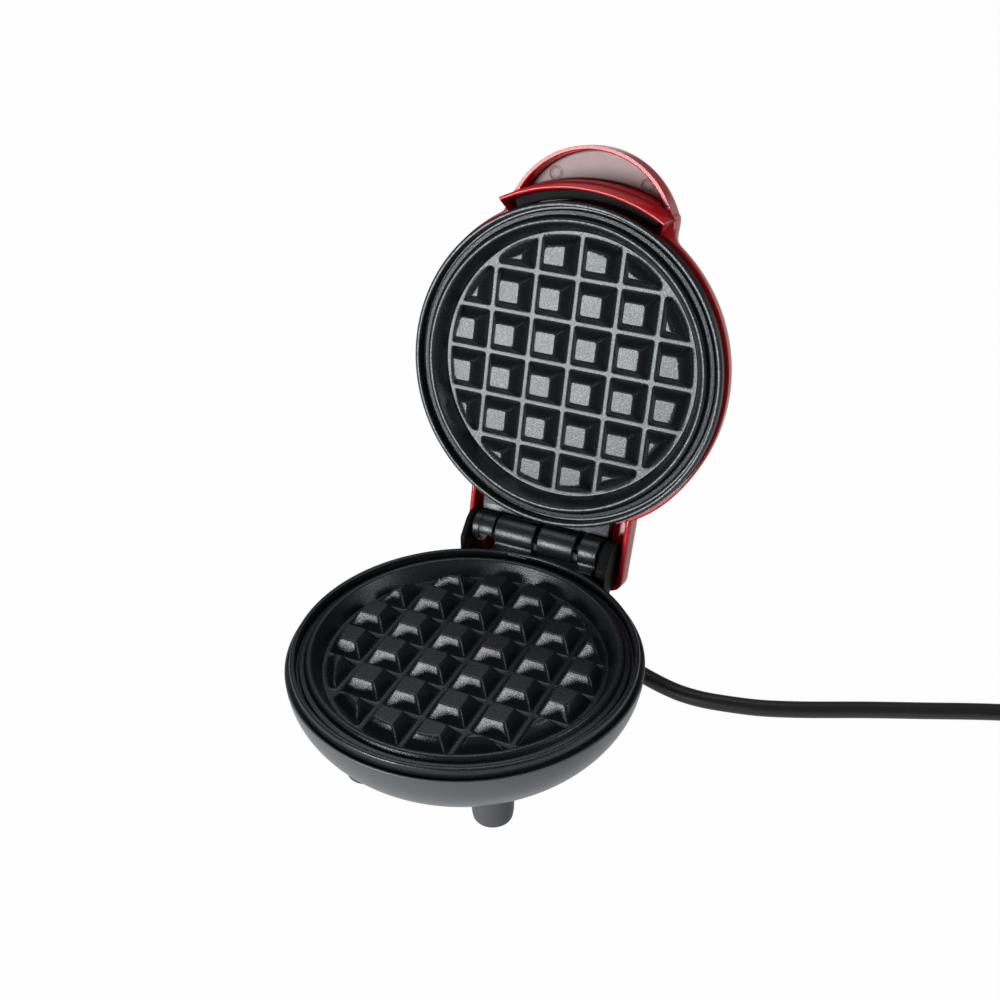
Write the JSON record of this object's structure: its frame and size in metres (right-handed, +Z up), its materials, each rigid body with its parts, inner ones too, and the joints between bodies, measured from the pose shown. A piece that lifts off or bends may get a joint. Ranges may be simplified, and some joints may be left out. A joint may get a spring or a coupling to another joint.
{
  "type": "mini waffle maker",
  "caption": "Small round waffle maker: two hinged non-stick plates with pyramids and rings in a grey bowl base and a red domed lid with a finger tab, shown open, with its mains cord.",
  "frame": {"origin": "middle of the bounding box's footprint on the table, without the cord", "axes": "+Z up, +Y towards the hinge at the back, +X to the right seen from the front"},
  "size_m": [0.3307, 0.1834, 0.1809],
  "materials": {
    "housing_grey": "satin grey moulded plastic",
    "lid_red": "high gloss red moulded plastic",
    "panel_pale": "satin pale pink grey plastic",
    "black_plastic": "satin black plastic",
    "plate_coating": "dark speckled non-stick coating on cast aluminium",
    "element_steel": "dark oxidised steel sheath",
    "shield_aluminium": "plain mill sheet",
    "ceramic": "unglazed ceramic",
    "cord_black": "satin black flexible sheath",
    "wire_sleeve": "woven glass sleeve",
    "pin_steel": "plain steel",
    "blade_brass": "bright brass",
    "foot_rubber": "matte dark grey rubber",
    "lens_amber": "clear amber lens",
    "lamp_glass": "small glass lamp"
  },
  "bodies": {
    "base": {"base_housing": "housing_grey", "base_screw_1": "pin_steel", "base_screw_2": "pin_steel", "base_screw_3": "pin_steel", "base_screw_4": "pin_steel", "cord_coil": "cord_black", "cord_stretch": "cord_black", "cord_tail": "cord_black", "cord_tie": "black_plastic", "foot_front_left": "foot_rubber", "foot_front_right": "foot_rubber", "foot_rear_left": "foot_rubber", "foot_rear_right": "foot_rubber", "hinge_bracket_left": "black_plastic", "hinge_bracket_right": "black_plastic", "hinge_pin": "element_steel", "inner_lead": "cord_black", "live_wire": "wire_sleeve", "lower_heat_shield": "shield_aluminium", "lower_heating_element": "element_steel", "lower_plate": "plate_coating", "neutral_wire": "wire_sleeve", "plug_blade_left": "blade_brass", "plug_blade_right": "blade_brass", "plug_body": "cord_black", "strain_relief": "cord_black", "terminal_block": "ceramic", "thermal_fuse": "ceramic", "thermostat": "black_plastic"},
    "lid": {"handle_panel": "panel_pale", "indicator_lens": "lens_amber", "lid_inner_ring": "black_plastic", "lid_screw_1": "pin_steel", "lid_screw_2": "pin_steel", "lid_screw_3": "pin_steel", "lid_screw_4": "pin_steel", "lid_shell": "lid_red", "neon_lamp": "lamp_glass", "upper_heat_shield": "shield_aluminium", "upper_heating_element": "element_steel", "upper_plate": "plate_coating"}
  },
  "joints": [
    {"name": "lid_hinge", "type": "hinge", "parent": "base", "child": "lid", "pos_m": [0, 0.03567, 0.04351], "axis": [1, 0, 0], "range_deg": [0, 105.35]}
  ]
}
